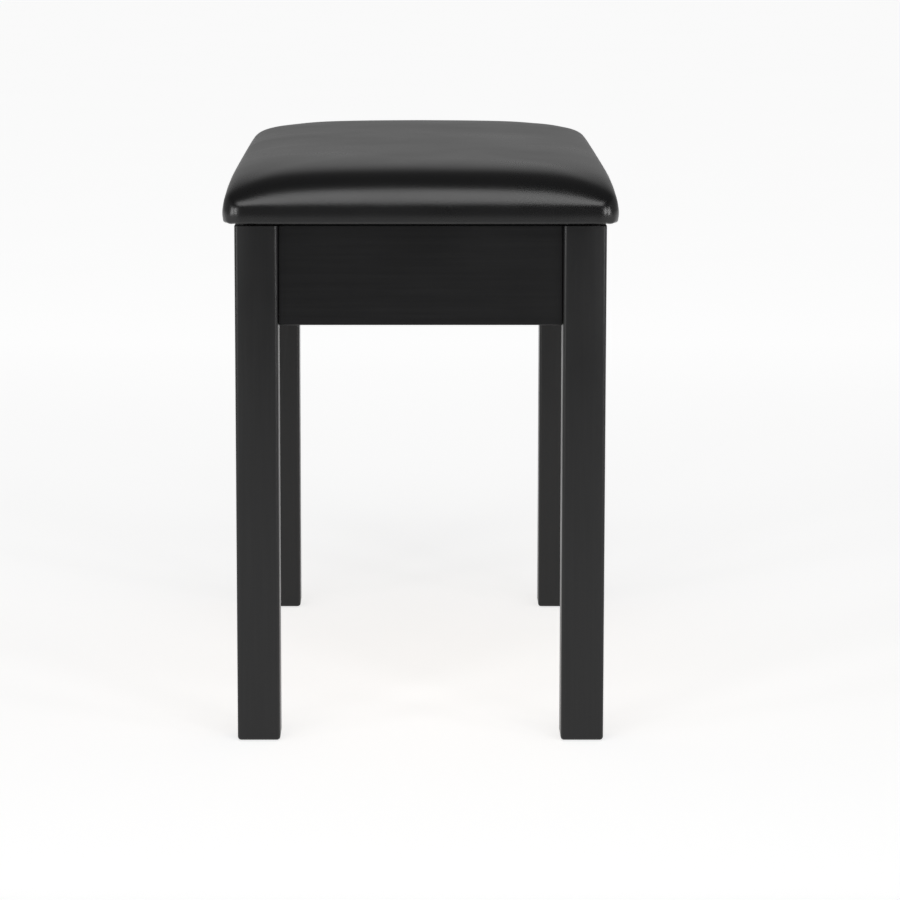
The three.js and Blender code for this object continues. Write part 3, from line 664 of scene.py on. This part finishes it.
def seat_lining():
    """Cloth stapled along its edges, sagging a little in the middle and puckered at each staple."""
    half_x, half_y = LINING_HIGH.x, LINING_HIGH.y
    height = (LINING_LOW.z + LINING_HIGH.z) / 2
    columns, rows = (2 * round(half / LINING_STEP) + 1 for half in (half_x, half_y))
    points = np.array([
        (x, y, height)
        for y in np.linspace(-half_y, half_y, rows)
        for x in np.linspace(-half_x, half_x, columns)
    ])
    edge = np.minimum(half_x - np.abs(points[:, 0]), half_y - np.abs(points[:, 1]))
    on_side = half_x - np.abs(points[:, 0]) < half_y - np.abs(points[:, 1])
    along = np.where(on_side, points[:, 1], points[:, 0])
    pucker = PUCKER * np.cos(2 * math.pi * along / STAPLE_PITCH) * np.exp(-edge / PUCKER_REACH)
    cloth = new_object("lining", points, grid_faces(rows, columns))
    simulate(cloth, edge < STAPLE_INSET, pressure=0, gravity=1, frames=SAG_FRAMES, cap=LINING_SAG)
    cloth.data.vertices.foreach_get("co", flat := np.empty(points.size))
    flat[2::3] += pucker
    cloth.data.vertices.foreach_set("co", flat)
    cloth.data.update()
    thickness = cloth.modifiers.new("thickness", "SOLIDIFY")
    thickness.thickness = LINING_THICK
    thickness.offset = 0
    paint(cloth, MATERIALS["lining"])
    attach(cloth, "seat")
    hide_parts("seat_lining")


def staple(bm, place, turn):
    """A flat wire whose ends bend up into the seat board."""
    end, bend = -STAPLE_WIDTH / 2, -0.4 * WIRE_THICK
    left = [
        ((end, STAPLE_BEND), (end + WIRE_THICK, STAPLE_BEND)),
        ((end, bend), (end + WIRE_THICK, bend)),
        ((end + STAPLE_BEND, -WIRE_THICK), (end + STAPLE_BEND, 0)),
    ]
    right = [((-a, b), (-c, d)) for (a, b), (c, d) in reversed(left)]
    rings = []
    for outer, inner in left + right:
        corners = ((outer, -1), (outer, 1), (inner, 1), (inner, -1))
        rings.append([
            bm.verts.new(place + turn @ Vector((x, side * WIRE_WIDTH / 2, z)))
            for (x, z), side in corners
        ])
    for a, b in zip(rings, rings[1:]):
        for k in range(4):
            bm.faces.new((a[k], a[(k + 1) % 4], b[(k + 1) % 4], b[k]))
    bm.faces.new(reversed(rings[0]))
    bm.faces.new(rings[-1])


def staples():
    jitter = random.Random(STAPLE_SEED)
    half_x, half_y = LINING_HIGH.x - STAPLE_INSET, LINING_HIGH.y - STAPLE_INSET
    height = LINING_LOW.z + STAPLE_PRESS
    bm = bmesh.new()
    for half_along, half_across, lengthwise in ((half_x, half_y, False), (half_y, half_x, True)):
        count = int(half_along / STAPLE_PITCH)
        for k in range(-count, count + 1):
            for side in (-1, 1):
                along = k * STAPLE_PITCH + jitter.uniform(-1, 1) * STAPLE_SHIFT_ALONG
                across = side * half_across + jitter.uniform(-1, 1) * STAPLE_SHIFT_ACROSS
                angle = jitter.gauss(0, STAPLE_TILT) + (math.pi / 2 if lengthwise else 0)
                place = Vector((across, along, height) if lengthwise else (along, across, height))
                staple(bm, place, Matrix.Rotation(angle, 3, "Z"))
    obj = from_bmesh("staples", bm, smooth=False)
    paint(obj, MATERIALS["staple"])
    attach(obj, "seat")


# ---- screws and bolts ----

def cross_head(bm, place, normal, radius, height):
    """A domed screw head with a cross recess, on the surface at place, facing along normal."""
    turn = Vector(normal).to_track_quat("Z", "X").to_matrix()
    arm, reach = radius * CROSS_ARM, radius * CROSS_REACH
    grid = []
    for i in range(1, SCREW_RINGS + 1):
        out = i / SCREW_RINGS
        for k in range(SCREW_SPOKES):
            angle = 2 * math.pi * k / SCREW_SPOKES
            x, y = radius * out * math.cos(angle), radius * out * math.sin(angle)
            near, far = sorted((abs(x), abs(y)))
            z = height * math.sqrt(1 - out ** 4)
            if near < arm and far < reach:
                z -= height * (CROSS_STEP + CROSS_SLOPE * (1 - far / reach))
            grid.append(bm.verts.new(place + turn @ Vector((x, y, z))))
    bottom = height * (1 - CROSS_STEP - CROSS_SLOPE)
    centre = bm.verts.new(place + turn @ Vector((0, 0, bottom)))
    for k in range(SCREW_SPOKES):
        bm.faces.new((centre, grid[k], grid[(k + 1) % SCREW_SPOKES]))
    for a, b, c, d in grid_faces(SCREW_RINGS, SCREW_SPOKES, closed=True):
        bm.faces.new((grid[a], grid[d], grid[c], grid[b]))
    bm.faces.new(reversed(grid[-SCREW_SPOKES:]))


def screw_heads(name, heads, body):
    bm = bmesh.new()
    for place, normal, radius, height in heads:
        cross_head(bm, Vector(place), normal, radius, height)
    obj = from_bmesh(name, bm)
    paint(obj, MATERIALS["zinc"])
    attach(obj, body)


def corner_bracket_heads(name, side_x, side_y):
    """Two heads on each flange of a corner bracket."""
    low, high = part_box(f"corner_bracket_{name}")
    outer_x, inner_x = (high.x, low.x) if side_x > 0 else (low.x, high.x)
    outer_y, inner_y = (high.y, low.y) if side_y > 0 else (low.y, high.y)
    heads = []
    for lift in (-FLANGE_SCREW_SPREAD, FLANGE_SCREW_SPREAD):
        z = (low.z + high.z) / 2 + lift
        on_short = (inner_x + side_x * FLANGE_SCREW_INSET, outer_y - side_y * PLATE, z)
        on_long = (outer_x - side_x * PLATE, inner_y + side_y * FLANGE_SCREW_INSET, z)
        heads.append((on_short, (0, -side_y, 0), *PAN_HEAD))
        heads.append((on_long, (-side_x, 0, 0), *PAN_HEAD))
    return heads


def stay_bracket_heads(end, side_y):
    """Two flush heads on the plate that holds a stay to its apron."""
    low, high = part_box(f"stay_frame_bracket_{end}")
    middle = (low + high) / 2
    face = (high.y if side_y > 0 else low.y) - side_y * PLATE
    return [((middle.x, face, middle.z + lift), (0, -side_y, 0), *FLAT_HEAD)
            for lift in (-PLATE_SCREW_SPREAD, PLATE_SCREW_SPREAD)]


def lid_bracket_heads(end):
    """Two heads on the flange that holds a stay to the seat board."""
    low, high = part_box(f"stay_lid_bracket_{end}")
    middle = (low + high) / 2
    return [((middle.x + shift, middle.y, high.z - PLATE), (0, 0, -1), *PAN_HEAD)
            for shift in (-LID_SCREW_SPREAD, LID_SCREW_SPREAD)]


def hanger_bolt(name):
    """A threaded bolt from the leg to its wing nut, with a helical thread."""
    low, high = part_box(f"hanger_bolt_{name}")
    middle = (low + high) / 2
    radius = (high.z - low.z) / 2
    along = Vector((-math.copysign(1, middle.x), -math.copysign(1, middle.y), 0)).normalized()
    length = (high.x - low.x) * math.sqrt(2) - 2 * radius
    turn = along.to_track_quat("Z", "Y").to_matrix()
    rows = int(length / THREAD_PITCH * THREAD_RINGS)
    points = []
    for row in range(rows + 1):
        at = length * row / rows
        to_end = min(at, length - at)
        taper = min(1.0, to_end / THREAD_PITCH + BOLT_TIP)
        for k in range(THREAD_SPOKES):
            phase = (at / THREAD_PITCH - k / THREAD_SPOKES) % 1
            r = (radius - THREAD_DEPTH * abs(2 * phase - 1)) * taper
            angle = 2 * math.pi * k / THREAD_SPOKES
            spot = Vector((r * math.cos(angle), r * math.sin(angle), at - length / 2))
            points.append(middle + turn @ spot)
    faces = grid_faces(rows + 1, THREAD_SPOKES, closed=True)
    faces.append(tuple(reversed(range(THREAD_SPOKES))))
    faces.append(tuple(range(rows * THREAD_SPOKES, (rows + 1) * THREAD_SPOKES)))
    bolt = new_object(f"bolt_{name}", points, faces)
    paint(bolt, MATERIALS["zinc"])
    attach(bolt, "frame")
    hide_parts(f"hanger_bolt_{name}")


def fixings():
    corners = {"near_left": (-1, -1), "near_right": (1, -1), "far_left": (-1, 1), "far_right": (1, 1)}
    frame_heads = []
    for name, (side_x, side_y) in corners.items():
        frame_heads += corner_bracket_heads(name, side_x, side_y)
        hanger_bolt(name)
    for end, side_y in (("near", -1), ("far", 1)):
        frame_heads += stay_bracket_heads(end, side_y)
        screw_heads(f"lid_bracket_screws_{end}", lid_bracket_heads(end), "seat")
    screw_heads("frame_screws", frame_heads, "frame")


# ---- stage ----

def area_light(name, place, target, size_x, size_y, watts):
    data = bpy.data.lights.new(name, "AREA")
    data.shape = "RECTANGLE"
    data.size = size_x
    data.size_y = size_y
    data.energy = watts
    light = bpy.data.objects.new(name, data)
    light.location = place
    light.rotation_euler = (Vector(target) - Vector(place)).to_track_quat("-Z", "Y").to_euler()
    bpy.context.scene.collection.objects.link(light)


def lights():
    """A soft box above the near end, and two tall ones on each side of the camera."""
    area_light("key", *KEY_LAMP)
    for kind, ((x, y, z), *rest) in (("strip", STRIP_LAMP), ("edge", EDGE_LAMP)):
        area_light(f"left_{kind}", (-x, y, z), *rest)
        area_light(f"right_{kind}", (x, y, z), *rest)


def surroundings():
    """A pale sweep behind and beside the bench, a dark room above and in front of it."""
    world = bpy.data.worlds.new("studio")
    bpy.context.scene.world = world
    world.use_nodes = True
    tree = world.node_tree
    background = tree.nodes["Background"]
    background.inputs["Color"].default_value = (1, 1, 1, 1)
    where = tree.nodes.new("ShaderNodeTexCoord")
    split = tree.nodes.new("ShaderNodeSeparateXYZ")
    tree.links.new(where.outputs["Generated"], split.inputs[0])
    product = tree.nodes.new("ShaderNodeMath")
    product.operation = "MULTIPLY"
    for i, (axis, limits) in enumerate((("Z", ROOM_BY_HEIGHT), ("Y", ROOM_BY_DEPTH))):
        ramp = tree.nodes.new("ShaderNodeMapRange")
        ramp.interpolation_type = "SMOOTHSTEP"
        tree.links.new(split.outputs[axis], ramp.inputs["Value"])
        for socket, limit in enumerate(limits, 1):
            ramp.inputs[socket].default_value = limit
        tree.links.new(ramp.outputs[0], product.inputs[i])
    tree.links.new(product.outputs[0], background.inputs["Strength"])


def floor():
    """A pale floor, bright round the bench and dimmer towards the room behind the camera."""
    reach = FLOOR_REACH
    corners = [(-reach, -reach, 0), (reach, -reach, 0), (reach, reach, 0), (-reach, reach, 0)]
    obj = new_object("floor", corners, [(0, 1, 2, 3)], smooth=False)
    shader = Shader("pale_floor", (0.2, 0.2, 0.2), 0.9)
    where = shader.add("ShaderNodeSeparateXYZ", {"Vector": shader.place()})
    along = where.outputs["Y"]
    near = shader.span(along, *FLOOR_NEAR)
    far = shader.span(along, *FLOOR_FAR)
    mottle = shader.span(shader.noise(shader.place(), 2.0, 2.0), 0, 1, 0.995, 1.005)
    glow = shader.combine(shader.combine(near, far, "MULTIPLY"), mottle, "MULTIPLY")
    shader.set(shader.surface, "Emission Color", (1, 1, 1, 1))
    shader.set(shader.surface, "Emission Strength", glow)
    shader.set(shader.surface, "Specular IOR Level", 0.0)
    paint(obj, shader.finish(shader.tint(near, (0.03, 0.03, 0.03), (0.5, 0.5, 0.5))))


def camera():
    data = bpy.data.cameras.new("camera")
    data.sensor_width = 36
    data.lens = CAMERA_LENS
    data.shift_x = CAMERA_SHIFT
    data.clip_end = 100
    obj = bpy.data.objects.new("camera", data)
    obj.location = CAMERA_PLACE
    obj.rotation_euler = (math.radians(90 - CAMERA_PITCH), 0, 0)
    bpy.context.scene.collection.objects.link(obj)
    bpy.context.scene.camera = obj


# ---- scene ----

camera()
finish_cad_nodes()
seat_pad()
seat_lining()
staples()
fixings()
lights()
surroundings()
floor()
bpy.context.scene.view_settings.view_transform = "Standard"
